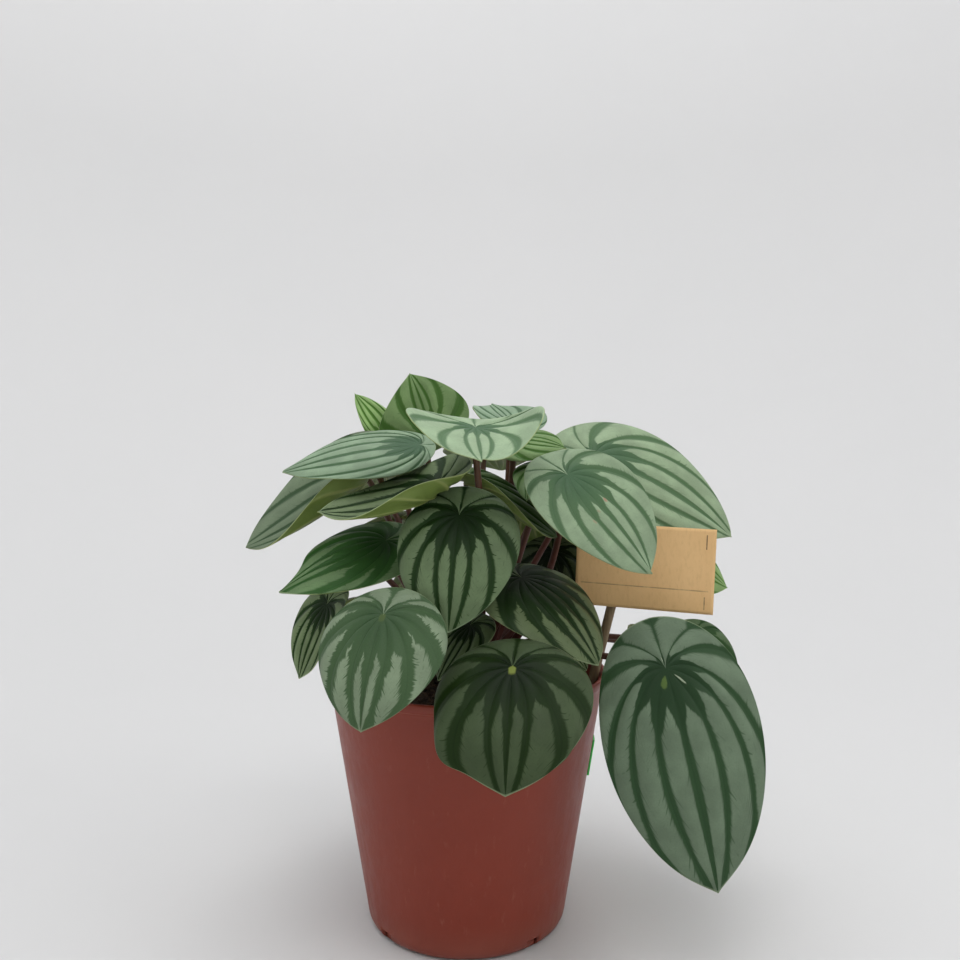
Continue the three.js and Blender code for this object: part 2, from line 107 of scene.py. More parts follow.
LEAVES = {
    "a": Leaf("pale", 0.6, (-44.6, 2, 192), (-93, -8, 161), 58, -32, -24, -100, -15),
    "b": Leaf("pale", 0.95, (-19.4, -17, 204), (-73.4, -25, 193.2), 38, -26, 18, 16, 8,
              back=0.12, sway=(4, 0, 0)),
    "c": Leaf("deep", 1.1, (-12.2, -40, 187.6), (-55.6, -48, 179.4), 41.5, -34, -44, -105, 16,
              back=0.4),
    "d": Leaf("fresh", 1.65, (-34, 24, 205), (-51.4, 28, 227), 16, -60, 16, -20, -20),
    "e": Leaf("fresh", 1.0, (-17, 26, 209.5), (-26, 24, 236), 49, -72, 20, 14, 14,
              point=0.9, sway=(0, 18, 0)),
    "g": Leaf("pale", 1.25, (4, -44, 211), (6.5, -76, 199.5), 56, -8, 4, -60, -20,
              sway=(12, -18, 0)),
    "h": Leaf("pale", 1.0, (20, 8, 213), (11, 26, 222), 36, 0, 16, -20, -20),
    "i": Leaf("fresh", 1.0, (19, -14, 206), (41, -18, 203), 26, 30, 24, 14, 18, sway=(0, 4, 0)),
    "j": Leaf("pale", 1.05, (57, 14, 199), (115, 4, 164), 57, 46, 36, 12, 16),
    "k": Leaf("worn", 1.0, (39.2, -46, 193), (68.3, -60, 157.5), 48.5, 25, 30, -12, 12,
              point=0.45, back=0.3, sway=(32, 12, 0)),
    "l": Leaf("deep", 1.1, (-1.9, -51.5, 178.3), (-5.4, -68.5, 137.8), 48, 0, 34, 24, 24,
              point=0.42),
    "m": Leaf("plain", 1.3, (-33, -20, 165), (-73.5, -34, 146.3), 42, -30, 26, 12, 25,
              nick=(0.36, 0.16, 0.15)),
    "n": Leaf("deep", 1.35, (-59.3, -6, 136), (-70.3, -12, 106), 32, -20, 20, -30, 10),
    "o": Leaf("frosted", 0.93, (-28.4, -73, 144.6), (-34.6, -89, 108.3), 51.5, 0, 44, 30, 30,
              point=0.45, sway=(-4, 0, 0)),
    "p": Leaf("shade", 1.0, (17, -83, 128.3), (14, -107, 93.2), 57, 4, 46, 30, 28,
              point=0.35, back=0.42, nick=(0.5, 0.08, -0.12)),
    "q": Leaf("dusky", 0.85, (22, -42, 153), (49, -62, 124), 50, 8, 40, 14, 26),
    "r": Leaf("creased_and_highlit", 0.9, (77.3, -45, 118.5), (94, -62, 39), 65, 40, 30, 20, 20,
              point=0.4, back=0.25, nick=(0.78, 0.14, 0.08)),
    "s": Leaf("plain", 0.75, (99, 4, 116.5), (108, -2, 83), 46, 30, 30, 20, 20),
    "t": Leaf("fresh", 1.3, (92, 30, 154), (121, 32, 137), 40, 40, 30, 16, 16),
    # Its low 0.42 is painted shade for the shaded inside of this folded leaf.
    "u": Leaf("fresh", 0.42, (1.5, -24, 190), (35.8, -37, 168.6), 32, 20, -6, 4, -102, back=0.18),
    "v": Leaf("deep", 1.0, (2, -40, 134), (-10, -52, 116), 26, 0, 24, 12, 12),
    "x": Leaf("deep", 1.0, (38, -26, 125), (48, -34, 115), 18, 20, 20, 12, 12),
    "y": Leaf("fresh", 0.9, (32, -18, 195), (24, -36, 183), 22, -10, 24, 12, 12),
    "back_a": Leaf("deep", 1.1, (-34, 50, 168), (-54, 80, 138), 46, 0, 36, 20, 20),
    "back_b": Leaf("broad", 1.1, (-2, 62, 176), (-4, 96, 148), 44, 0, 36, 20, 20),
    "back_d": Leaf("deep", 1.0, (-52, 28, 160), (-80, 46, 132), 44, 0, 36, 20, 20),
    "back_e": Leaf("broad", 1.0, (-14, 66, 142), (-20, 92, 106), 50, 0, 40, 24, 24),
    "back_f": Leaf("frosted", 1.0, (38, 66, 132), (52, 90, 98), 46, 0, 40, 24, 24),
    "back_g": Leaf("pale", 1.0, (8, 44, 203), (16, 74, 190), 44, 0, 24, 14, 14),
    "back_h": Leaf("deep", 1.0, (34, 42, 178), (42, 66, 140), 46, 0, 24, 14, 14),
    "back_i": Leaf("pale", 0.9, (-42, 42, 190), (-60, 68, 172), 38, 0, 24, 14, 14,
                   sway=(0, -8, 0)),
    "back_j": Leaf("deep", 1.0, (-50, 50, 128), (-64, 74, 98), 44, 0, 36, 20, 20),
    "back_k": Leaf("deep", 1.0, (90, 36, 112), (108, 46, 76), 40, 0, 36, 20, 20),
    # Deep in the crown, among the petioles: its low 0.42 darkens it as painted shade for the deep
    # shadow there.
    "inner": Leaf("deep", 0.42, (40.2, 38.5, 152.7), (39.4, 28.3, 125.7), 36, -4, 32, 20, 20,
                  sway=(15, 10.6, 4.2)),
}
ADDED_LEAVES = ("inner",)       # deep in the crown, with no node of their own

WORN_MARKS = (
    (-0.57, 0.33, 0.13, 0.022, 0.75, (0.34, 0.17, 0.12)),
    (0.55, 0.38, 0.10, 0.016, 0.4, (0.30, 0.17, 0.11)),
    (1.26, 0.47, 0.10, 0.018, 0.45, (0.30, 0.17, 0.11)),
)
# Marks of the creased look on leaf r: a dark green streak by the petiole, and two pale marks near
# the petiole that are a painted highlight.
CREASE_AND_HIGHLIGHT_MARKS = (
    (0.7, 0.06, 0.4, 0.03, 0.7, (0.12, 0.19, 0.045)),
    (-1.3, 0.075, 0.10, 0.035, 0.8, (0.42, 0.48, 0.34)),
    (5.75, 0.17, 0.10, 0.05, 0.8, (0.42, 0.48, 0.34)),
)

# The upper faces' colours, linear: silver lies between the veins, and green is the band
# along each vein. width is the band's share, merge is how far the dark middle reaches,
# ragged is how uneven the bands' edges are, edge is how far green runs along the margin,
# vein is how strongly fine veins cross the silver, and spot shows the petiole's place.
# Its marks are blemishes, and on the creased look also pale marks that paint a highlight: vein
# number, reach, half sizes in both, strength and colour.
Look = namedtuple("Look", "silver green centre width merge ragged edge vein spot marks",
                  defaults=((),))
LOOKS = {
    "pale": Look((0.23, 0.315, 0.20), (0.07, 0.132, 0.062), (0.05, 0.104, 0.052), 0.29, 0.2, 0.07,
                 0.0, 0.5, 0.0),
    "fresh": Look((0.165, 0.26, 0.10), (0.055, 0.128, 0.024), (0.04, 0.095, 0.02), 0.36, 0.25,
                  0.08, 0.1, 0.6, 0.0),
    "deep": Look((0.118, 0.163, 0.08), (0.011, 0.03, 0.0055), (0.006, 0.016, 0.0035), 0.30, 0.27,
                 0.09, 0.1, 1.0, 0.0),
    "plain": Look((0.10, 0.165, 0.075), (0.026, 0.076, 0.018), (0.015, 0.045, 0.011), 0.42,
                  0.4, 0.14, 0.2, 0.8, 0.0),
    "shade": Look((0.048, 0.072, 0.034), (0.0085, 0.022, 0.003), (0.003, 0.010, 0.001), 0.33,
                  0.32, 0.08, 0.1, 0.7, 1.0),
    "broad": Look((0.145, 0.20, 0.13), (0.031, 0.07, 0.028), (0.018, 0.044, 0.017), 0.28, 0.18,
                  0.10, 0.3, 0.6, 0.3),
    "frosted": Look((0.205, 0.275, 0.18), (0.055, 0.103, 0.046), (0.04, 0.08, 0.035), 0.46, 0.34,
                    0.36, 0.35, 1.0, 0.25),
}
LOOKS["worn"] = LOOKS["pale"]._replace(merge=0.3, marks=WORN_MARKS)
LOOKS["creased_and_highlit"] = LOOKS["broad"]._replace(spot=0.0, marks=CREASE_AND_HIGHLIGHT_MARKS)
LOOKS["dusky"] = LOOKS["deep"]._replace(width=0.36, merge=0.42)

# Veins run forward to the point in the main, and closer together towards the back.
MAIN_VEINS = 4                  # on each side of the midrib
BACK_VEINS = 2                  # on each side behind those, the last one shared
MAIN_SHARE = 0.8                # of the turn, for the main veins
VEIN_LEAVE = 0.36               # how stiffly a vein leaves the petiole
VEIN_ARRIVE = 0.3               # and how long it runs along the margin


# --------------------- small helpers
def wall_radius(height):
    return POT_WALL_FOOT_RADIUS + WALL_SLOPE * (height - POT_FOOT_HEIGHT)


def smooth(low, high, value):
    share = np.clip((value - low) / (high - low), 0, 1)
    return share * share * (3 - 2 * share)


def unit(vector):
    return vector / np.linalg.norm(vector, axis=-1, keepdims=True)

def circle(count):
    return np.linspace(0, 2 * np.pi, count, endpoint=False)


def turned(radius, height, angles):
    """Rings of points round the upright axis, from columns of radii and heights."""
    x, y = radius * np.cos(angles), radius * np.sin(angles)
    return np.stack((x, y, np.broadcast_to(height, x.shape)), axis=2)


class Mesh:
    """Collects vertices in millimetres, faces, and for each face its corners in the maps."""

    def __init__(self, *maps):
        self.points = []
        self.count = 0
        self.faces = []
        self.slots = []
        self.maps = {name: [] for name in maps}

    def add_points(self, points):
        first = self.count
        self.points.append(np.asarray(points, float).reshape(-1, 3))
        self.count += len(self.points[-1])
        return first

    def face(self, corners, slot=0, **maps):
        self.faces.append(corners)
        self.slots.append(slot)
        for name, values in maps.items():
            self.maps[name].extend(values)

    def grid(self, points, slot=0, wrap=False, flip=False, **maps):
        """A sheet of rows and columns of points. Each map is a function of row and column."""
        rows, columns = points.shape[:2]
        first = self.add_points(points)
        for i in range(rows - 1):
            for j in range(columns if wrap else columns - 1):
                cells = [(i, j), (i, j + 1), (i + 1, j + 1), (i + 1, j)]
                if flip:
                    cells.reverse()
                self.face([first + r * columns + c % columns for r, c in cells], slot,
                          **{name: [spot(r, c) for r, c in cells] for name, spot in maps.items()})
        return first

    def build(self, name, materials):
        data = bpy.data.meshes.new(name)
        data.from_pydata(np.concatenate(self.points) * MM, [], self.faces)
        for name_of_map, values in self.maps.items():
            layer = data.uv_layers.new(name=name_of_map)
            layer.data.foreach_set("uv", np.asarray(values, np.float32).ravel())
        for material in materials:
            data.materials.append(material)
        data.polygons.foreach_set("material_index", np.asarray(self.slots, np.int32))
        data.polygons.foreach_set("use_smooth", np.ones(len(self.faces), bool))
        data.validate()
        piece = bpy.data.objects.new(name, data)
        bpy.context.scene.collection.objects.link(piece)
        return piece


def place(piece, slot, *nodes):
    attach(piece, BODY)
    if nodes:
        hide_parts(*nodes)
    return piece


# --------------------- material helpers
class Value:
    """A node's output that can be calculated with. Each sum adds a math node."""

    def __init__(self, tree, socket):
        self.tree = tree
        self.socket = socket

    def __add__(self, other):
        return self.tree.math("ADD", self, other)

    def __sub__(self, other):
        return self.tree.math("SUBTRACT", self, other)

    def __mul__(self, other):
        return self.tree.math("MULTIPLY", self, other)

    def __truediv__(self, other):
        return self.tree.math("DIVIDE", self, other)

    def __abs__(self):
        return self.tree.math("ABSOLUTE", self)


class Tree:
    """A material's nodes, with short calls for those that this script uses."""

    def __init__(self, name):
        self.material = bpy.data.materials.new(name)
        self.material.use_nodes = True
        self.nodes = self.material.node_tree.nodes
        self.links = self.material.node_tree.links
        self.shader = self.nodes["Principled BSDF"]

    def put(self, socket, value):
        if isinstance(value, Value):
            self.links.new(value.socket, socket)
        else:
            socket.default_value = value

    def node(self, kind, values=(), output=0, **settings):
        """Adds a node. values fill its first inputs, or the inputs that a dict names."""
        node = self.nodes.new(kind)
        for name, value in settings.items():
            setattr(node, name, value)
        inputs = values if isinstance(values, dict) else dict(enumerate(values))
        for key, value in inputs.items():
            self.put(node.inputs[key], value)
        return Value(self, node.outputs[output])

    def math(self, operation, *values, clamp=False):
        return self.node("ShaderNodeMath", values, operation=operation, use_clamp=clamp)

    def smooth(self, low, high, value, start=0.0, end=1.0):
        return self.node("ShaderNodeMapRange", (value, low, high, start, end),
                         interpolation_type="SMOOTHSTEP")

    def vector(self, x, y=0.0, z=0.0):
        return self.node("ShaderNodeCombineXYZ", (x, y, z))

    def axes(self, vector):
        split = self.node("ShaderNodeSeparateXYZ", (vector,)).socket.node
        return [Value(self, socket) for socket in split.outputs]

    def noise(self, vector, scale, detail=3.0, roughness=0.5):
        values = {"Vector": vector, "Scale": scale, "Detail": detail, "Roughness": roughness}
        return self.node("ShaderNodeTexNoise", values, "Fac")

    def mix(self, share, first, second, blend="MIX"):
        values = {"Factor": share, "A": rgba(first), "B": rgba(second)}
        return self.node("ShaderNodeMix", values, "Result", data_type="RGBA", blend_type=blend)

    def map(self, name):
        return self.axes(self.node("ShaderNodeUVMap", uv_map=name))[:2]

    def place_in_object(self):
        return self.node("ShaderNodeTexCoord", output="Object")

    def drawn_out(self, vector, upward):
        """The vector with its height scaled, so that a noise runs along the height."""
        return self.node("ShaderNodeVectorMath", (vector, (1.0, 1.0, upward)),
                         operation="MULTIPLY")

    def bump(self, height, distance, strength):
        values = {"Strength": strength, "Distance": distance, "Height": height}
        self.put(self.shader.inputs["Normal"], self.node("ShaderNodeBump", values))

    def finish(self, colour, roughness, specular):
        self.put(self.shader.inputs["Base Color"], rgba(colour))
        self.put(self.shader.inputs["Roughness"], roughness)
        self.put(self.shader.inputs["Specular IOR Level"], specular)
        return self.material


def rgba(colour):
    return (*colour, 1.0) if isinstance(colour, tuple) else colour


# --------------------- leaf materials
HAIRS = 21.0                    # short dark hairs along each side of a vein
HAIR_SLANT = 3.2                # how far a hair leans towards the margin
HAIR_LENGTH = 0.36              # its greatest length, as a share of the way between veins
HAIR_WIDTH = 0.17               # half its width where it leaves the band

SPOT_GREEN = (0.16, 0.20, 0.04)
MARGIN_GREEN = (0.30, 0.38, 0.22)
BLACK = (0.0, 0.0, 0.0)
WHITE = (1.0, 1.0, 1.0)


def upper_material(name, look):
    """Bands of green along the veins. The map Veins holds the vein's number and the reach."""
    tree = Tree("leaf_upper_" + name)
    veins, reach = tree.map("Veins")
    flat_x, flat_y = tree.map("Flat")
    flat = tree.vector(flat_x, flat_y)
    nearest = tree.math("ROUND", veins)
    offset = veins - nearest
    away = abs(offset) * 2.0
    order = abs(veins)
    lane = nearest * 3.7 + tree.math("SIGN", offset)
    seed = tree.math("FLOOR", flat_x * 2.0)

    # The band's half width, in the same measure as away.
    coarse = tree.noise(tree.vector(reach * 7.0, lane, seed), 1.0, 2.0)
    barb = tree.noise(tree.vector(reach * 34.0 - away * 5.0, lane, seed), 1.0, 4.0, 0.75)
    outer = tree.smooth(1.0, 4.0, order, 1.0, 1.3)
    back = tree.smooth(4.35, 4.9, order, 1.0, 0.35)
    swell = tree.smooth(0.1, 0.55, reach, 0.7, 1.0) * tree.smooth(0.6, 1.0, reach, 1.0, 0.6)
    width = outer * back * (swell * look.width)
    start = coarse * (look.merge * 0.9) + look.merge
    middle = tree.smooth(0.45, 1.15, reach / start, 1.0, 0.0)
    width += middle * tree.smooth(4.2, 5.4, order, 1.0, 0.35)
    width += (coarse - 0.5) * (look.ragged * 0.9)
    width += (barb - 0.5) * (back * (look.ragged * 2.6))
    width += tree.smooth(0.8, 0.98, reach, 0.0, look.edge)
    silvery = tree.smooth(width - 0.10, width + 0.12, away)

    # Silver between the bands, with faint streaks and short hairs of green.
    cloud = tree.noise(flat, 90.0, 3.0)
    streak = tree.noise(tree.vector(reach * 60.0 - away * 9.0, lane, away * 1.5), 1.0, 3.0, 0.6)
    grain = tree.noise(flat, 1500.0, 2.0)
    silver = tree.mix(tree.smooth(0.3, 0.75, cloud), tuple(0.85 * c for c in look.silver),
                      tuple(1.12 * c for c in look.silver))
    silver = tree.mix(tree.smooth(0.58, 0.75, streak, 0.0, look.vein * 0.5), silver, look.green)
    rung = reach * HAIRS - away * HAIR_SLANT
    cell = tree.math("FLOOR", rung)
    beside = abs(rung - cell - 0.5)
    chance = tree.node("ShaderNodeTexWhiteNoise", {"Vector": tree.vector(cell, lane, seed)},
                       "Value", noise_dimensions="3D")
    hair_end = width + tree.smooth(0.25, 1.0, chance, 0.0, HAIR_LENGTH)
    left = tree.math("DIVIDE", hair_end - away, HAIR_LENGTH, clamp=True)
    hair = tree.smooth(0.0, 0.05, tree.math("SQRT", left) * HAIR_WIDTH - beside, 0.0, look.vein)
    silver = tree.mix(hair, silver, look.green)

    green = tree.mix(tree.smooth(0.05, 0.45, reach), look.centre, look.green)
    colour = tree.mix(silvery, green, silver)
    colour = tree.mix(tree.smooth(0.0, 0.07, away, 0.35, 0.0), colour, look.centre)
    narrow = tree.smooth(0.5, 2.0, order, 1.0, 1.8) * tree.smooth(4.0, 6.0, order, 1.0, 0.5)
    colour = tree.mix(tree.smooth(0.04, 0.072, reach * narrow, look.spot, 0.0), colour,
                      SPOT_GREEN)
    # Each mark: blemishes, and the creased look's pale marks, which are a painted highlight.
    for vein, mark_reach, half_vein, half_reach, strength, tint in look.marks:
        off_vein = (veins - vein) / half_vein
        off_reach = (reach - mark_reach) / half_reach
        off = off_vein * off_vein + off_reach * off_reach
        off += (tree.noise(flat, 900.0, 2.0) - 0.5) * 1.2
        colour = tree.mix(tree.smooth(0.4, 1.2, off, strength, 0.0), colour, tint)
    colour = tree.mix(tree.smooth(0.982, 0.996, reach, 0.0, 0.55), colour, MARGIN_GREEN)
    colour = tree.mix(0.12, colour, tree.mix(grain, BLACK, WHITE), "OVERLAY")
    # Each leaf's tone multiplies its colour: partly the leaf's own colour, partly painted shade
    # and painted light for how much light that leaf gets.
    tone = tree.node("ShaderNodeAttribute", output="Color", attribute_name="tone")
    colour = tree.mix(1.0, colour, tone, "MULTIPLY")
    tree.bump(silvery * 0.3 + tree.noise(flat, 500.0, 3.0) * 0.7, 0.00025, 0.45)
    return tree.finish(colour, tree.smooth(0.2, 0.8, cloud, 0.38, 0.5), 0.12)


def lower_material():
    tree = Tree("leaf_underside")
    veins, reach = tree.map("Veins")
    flat = tree.vector(*tree.map("Flat"))
    away = abs(veins - tree.math("ROUND", veins)) * 2.0
    colour = tree.mix(tree.noise(flat, 70.0, 4.0), (0.115, 0.168, 0.036), (0.20, 0.28, 0.062))
    rib = tree.smooth(0.05, 0.22, away, 0.7, 0.0) * tree.smooth(0.5, 1.0, reach, 1.0, 0.3)
    colour = tree.mix(rib, colour, (0.34, 0.38, 0.13))
    colour = tree.mix(tree.smooth(0.97, 0.99, reach, 0.0, 0.7), colour, (0.42, 0.48, 0.2))
    colour = tree.mix(tree.smooth(0.04, 0.12, reach, 0.6, 0.0), colour, (0.2, 0.06, 0.04))
    tree.bump(tree.noise(flat, 600.0, 3.0), 0.0003, 0.4)
    return tree.finish(colour, 0.5, 0.4)


# --------------------- leaf geometry
TURNS = 200                     # columns round the blade, 20 for each main vein
REACHES = 28                    # rings from the petiole to the margin
BLADE_MIDDLE = 0.8              # thickness at the petiole and at the margin
BLADE_EDGE = 0.45
GROOVE = 0.28                   # how deep a vein lies in the upper face
PUFF = 0.5                      # how high the blade swells between veins
RIB = 0.35                      # how far a vein stands out below
GROOVE_SPREAD = 0.16            # half its width, as a share of the way between veins
RIB_SPREAD = 0.14
RIM_BULGE = 0.55                # how far the rim stands out, in thicknesses
RIM_ON_MAP = 1.015              # and how far outside the margin it lies in the maps


def frame_of(leaf):
    origin = np.array(leaf.at, float)
    chord = np.array(leaf.tip, float) - origin
    length = np.linalg.norm(chord)
    along = chord / length
    level = unit(np.array((0, 0, 1.0)) - along[2] * along)
    roll = math.radians(leaf.roll)
    normal = level * math.cos(roll) + np.cross(along, level) * math.sin(roll)
    return origin, along, normal, np.cross(along, normal), length


def margin(leaf, front, turn):
    back = front * leaf.back
    p = leaf.point
    round_ = np.pi * np.sign(turn) * np.abs(turn) ** VEIN_SWEEP
    widest = (2 * math.sqrt(1 + p)) / (2 + p) * ((1 + p) / (2 + p)) ** (p / 2)
    draw = 1 - DRIP_DEPTH * np.exp(-(round_ / DRIP_SPREAD) ** 2)
    half = leaf.width / 2 / widest * np.sin(round_) * np.abs(np.sin(round_ / 2)) ** p * draw
    length = (front - back) / 2 + (front + back) / 2 * np.cos(round_)
    centre, spread, depth = leaf.nick
    keep = 1 - depth * np.exp(-((turn - centre) / spread) ** 2)
    return half * keep, length * keep


def margin_heading(leaf, front, turn):
    """The margin's direction towards the back, at each turn."""
    step = 0.0005
    inner = np.clip(np.abs(turn), 0.02, 1 - 2 * step)
    ahead, behind = margin(leaf, front, inner + step), margin(leaf, front, inner - step)
    across, along = ahead[0] - behind[0], ahead[1] - behind[1]
    size = np.hypot(across, along)
    return across / size * np.sign(turn), along / size


def flat_point(leaf, front, turn, reach):
    """Each vein is a curve that leaves the petiole at its own heading and arrives beside
    the margin."""
    half, length = margin(leaf, front, turn)
    size = np.hypot(half, length)
    beside = smooth(-0.1, 0.6, np.abs(turn)) * smooth(1.0, 0.75, np.abs(turn))
    margin_x, margin_y = margin_heading(leaf, front, turn)
    pull_x = beside * margin_x - (1 - beside) * half / size
    pull_y = beside * margin_y - (1 - beside) * length / size
    pull = VEIN_ARRIVE * size / np.hypot(pull_x, pull_y)
    leave = 3 * (1 - reach) ** 2 * reach
    arrive = 3 * (1 - reach) * reach ** 2
    x = (leave * VEIN_LEAVE * size * np.sin(np.pi * turn)
         + arrive * (half + pull * pull_x) + reach ** 3 * half)
    y = (leave * VEIN_LEAVE * size * np.cos(np.pi * turn)
         + arrive * (length + pull * pull_y) + reach ** 3 * length)
    return x, y


def vein_number(turn):
    """0 on the midrib, whole on every vein, and negative on the left."""
    size = np.abs(turn)
    main = size / MAIN_SHARE * MAIN_VEINS
    behind = MAIN_VEINS + (size - MAIN_SHARE) / (1 - MAIN_SHARE) * BACK_VEINS
    return np.sign(turn) * np.where(size > MAIN_SHARE, behind, main)


def blade_point(leaf, turn, reach):
    """The blade's middle surface, its upper normal, and its place on the flat leaf."""
    origin, along, normal, across, chord = frame_of(leaf)
    bow = math.radians(leaf.bow)
    arc = chord / (2 * math.sin(bow / 2))
    x, y = flat_point(leaf, arc * bow, turn, reach)
    lean = (y / arc - bow / 2)[..., None]
    fold = np.where(x < 0, math.radians(leaf.left), math.radians(leaf.right))
    curl = fold / (leaf.width / 2)
    swing = curl * np.abs(x)
    out = (np.sign(x) * np.sin(swing) / curl)[..., None]
    drop = ((1 - np.cos(swing)) / curl)[..., None]
    upper = normal * np.cos(lean) + along * np.sin(lean)
    point = (origin + along * arc * (np.sin(lean) + math.sin(bow / 2))
             + normal * arc * (np.cos(lean) - math.cos(bow / 2))
             + across * out - upper * drop)
    face = upper * np.cos(swing)[..., None] + across * (np.sign(x) * np.sin(swing))[..., None]
    return point, face, x, y


def blade(name, leaf, seed):
    """One leaf: an upper and a lower sheet, joined round a thin rounded rim."""
    rng = np.random.default_rng(seed)
    turn, reach = np.meshgrid(np.linspace(-1, 1, TURNS + 1),
                              np.linspace(0, 1, REACHES + 1)[1:])
    point, face, x, y = blade_point(leaf, turn, reach)

    veins = vein_number(turn)
    away = np.abs(veins - np.round(veins)) * 2
    step = np.linalg.norm(np.roll(point, -1, 1) - point, axis=2)
    step[:, -1] = step[:, 0]
    lane = step / np.gradient(veins, axis=1)
    sunk = GROOVE * np.exp(-(away / GROOVE_SPREAD) ** 2)
    sunk = sunk * smooth(0, 0.15, reach) * smooth(1, 0.8, reach)
    swell = np.minimum(PUFF, 0.07 * lane) * np.sin(np.pi / 2 * away) ** 2
    swell = swell * smooth(0, 0.2, reach) * smooth(1, 0.75, reach)
    wave = sum(rng.uniform(0.1, 0.42) * np.sin(n * np.pi * turn + rng.uniform(0, 6.3))
               for n in (2, 3, 5))
    shift = (swell - sunk + wave * reach ** 3)[..., None]
    thick = (BLADE_MIDDLE + (BLADE_EDGE - BLADE_MIDDLE) * reach)[..., None]
    rib = (RIB * np.exp(-(away / RIB_SPREAD) ** 2) * smooth(0.02, 0.15, reach)
           * (1 - 0.85 * reach))[..., None]
    upper = point + face * (shift + thick / 2)
    lower = point + face * (shift - thick / 2 - rib)
    outward = unit(point[-1] - point[-2])
    rim = (upper[-1] + lower[-1]) / 2 + outward * thick[-1] * RIM_BULGE

    centre, up, _, _ = blade_point(leaf, np.array(0.0), np.array(0.0))
    scale = min(0.47 / np.ptp(x), 0.96 / np.ptp(y))
    middle = np.array(((x.min() + x.max()) / 2, (y.min() + y.max()) / 2))
    mesh = Mesh("OFBake", "Veins", "Flat")
    offsets = np.array((seed // 2 + 0.25, seed * 0.37))     # a patch of noise of its own

    def corner(i, j, slot, grow):
        """The three maps' values at ring i (0 is the petiole) and column j."""
        spot = np.zeros(2) if i == 0 else np.array((x[i - 1, j], y[i - 1, j])) * grow
        baked = (spot - middle) * scale + (0.25 + 0.5 * slot, 0.5)
        vein = (veins[0, j], 0.0 if i == 0 else reach[i - 1, 0])
        return baked, vein, spot * MM + offsets

    def add_face(corners, cells, slot, grow=(1, 1, 1, 1)):
        values = [corner(i, j, slot, g) for (i, j), g in zip(cells, grow)]
        mesh.face(corners, slot, OFBake=[v[0] for v in values],
                  Veins=[v[1] for v in values], Flat=[v[2] for v in values])

    rims = []
    for slot, sheet, cap in ((0, upper, BLADE_MIDDLE / 2), (1, lower, -BLADE_MIDDLE / 2)):
        first = mesh.add_points(sheet[:, :-1])
        tip = mesh.add_points(centre + up * cap)
        order = -1 if slot else 1
        for j in range(TURNS):
            k = (j + 1) % TURNS
            add_face([tip, first + k, first + j][::order],
                     [(0, j), (1, j + 1), (1, j)][::order], slot)
            for i in range(REACHES - 1):
                here, there = first + i * TURNS, first + (i + 1) * TURNS
                add_face([here + j, here + k, there + k, there + j][::order],
                         [(i + 1, j), (i + 1, j + 1), (i + 2, j + 1), (i + 2, j)][::order],
                         slot)
        rims.append(first + (REACHES - 1) * TURNS)
    upper_rim, lower_rim = rims
    edge = mesh.add_points(rim[:-1])
    for j in range(TURNS):
        k = (j + 1) % TURNS
        cells = [(REACHES, j), (REACHES, j + 1), (REACHES, j + 1), (REACHES, j)]
        add_face([upper_rim + j, upper_rim + k, edge + k, edge + j], cells, 0,
                 (1, 1, RIM_ON_MAP, RIM_ON_MAP))
        add_face([edge + j, edge + k, lower_rim + k, lower_rim + j], cells, 1,
                 (RIM_ON_MAP, RIM_ON_MAP, 1, 1))
    piece = mesh.build(f"leaf_{name}_blade", [UPPER[leaf.look], UNDERSIDE])
    # The leaf's tone, set on every point: partly its own colour, partly painted shade and painted
    # light for the light that leaf gets.
    tone = piece.data.attributes.new("tone", "FLOAT_COLOR", "POINT")
    tint = np.array((1, 1, 1, 1)) * leaf.tone
    warm = rng.uniform(-0.04, 0.04)
    tint[:3] *= (1 + warm, 1, 1 - warm)
    tone.data.foreach_set("color", np.tile(tint, len(piece.data.vertices)).astype(np.float32))
    nodes = () if name in ADDED_LEAVES else (f"leaf_{name}",)
    return place(piece, "leaf", *nodes)


# --------------------- crown and petioles
PETIOLE_RINGS = 30
PETIOLE_SIDES = 14
PETIOLE_FOOT = 2.0              # radius where it leaves the crown
PETIOLE_NECK = 1.35             # radius along its middle
PETIOLE_FLARE = 2.1             # radius where it spreads into the blade
CROWN_RINGS = 16
CROWN_SIDES = 40
CROWN_MIDDLE = 96               # height at which the crown is widest
CROWN_HALF_HEIGHT = 10.5        # of its rounded outline, which its ends cut off


def petiole_path(leaf, share):
    centre, up, _, _ = blade_point(leaf, np.array(0.0), np.array(0.0))
    stop = centre - up * (CAD_THICKNESS / 2 + FIT_GAP)
    around = math.atan2(stop[1], stop[0])
    rooted = CROWN_RADIUS - PETIOLE_SINK
    start = np.array((rooted * math.cos(around), rooted * math.sin(around),
                      CROWN_TOP - 2 * PETIOLE_SINK))
    span = np.linalg.norm(stop - start)
    leave = unit(np.array((math.cos(around) * PETIOLE_LEAN,
                           math.sin(around) * PETIOLE_LEAN, 1.0)))
    first = start + leave * span * PETIOLE_RISE + np.array(leaf.sway)
    second = stop - up * PETIOLE_ARRIVAL
    end = centre - up * (BLADE_MIDDLE / 2 - 0.2)
    u = share[:, None]
    curve = ((1 - u) ** 3 * start + 3 * (1 - u) ** 2 * u * first
             + 3 * (1 - u) * u ** 2 * second + u ** 3 * stop)
    curve[-1] = end
    return curve


def tube_rings(path, radii, sides):
    """Rings square to the path, carried along it without twist."""
    tangents = unit(np.gradient(path, axis=0))
    side = unit(np.cross(tangents[0], (0.3, 0.9, 0.1)))
    rings = []
    angles = circle(sides)[:, None]
    for centre, tangent, radius in zip(path, tangents, radii):
        side = unit(side - tangent * np.dot(side, tangent))
        other = np.cross(tangent, side)
        rings.append(centre + radius * (np.cos(angles) * side + np.sin(angles) * other))
    return np.array(rings)


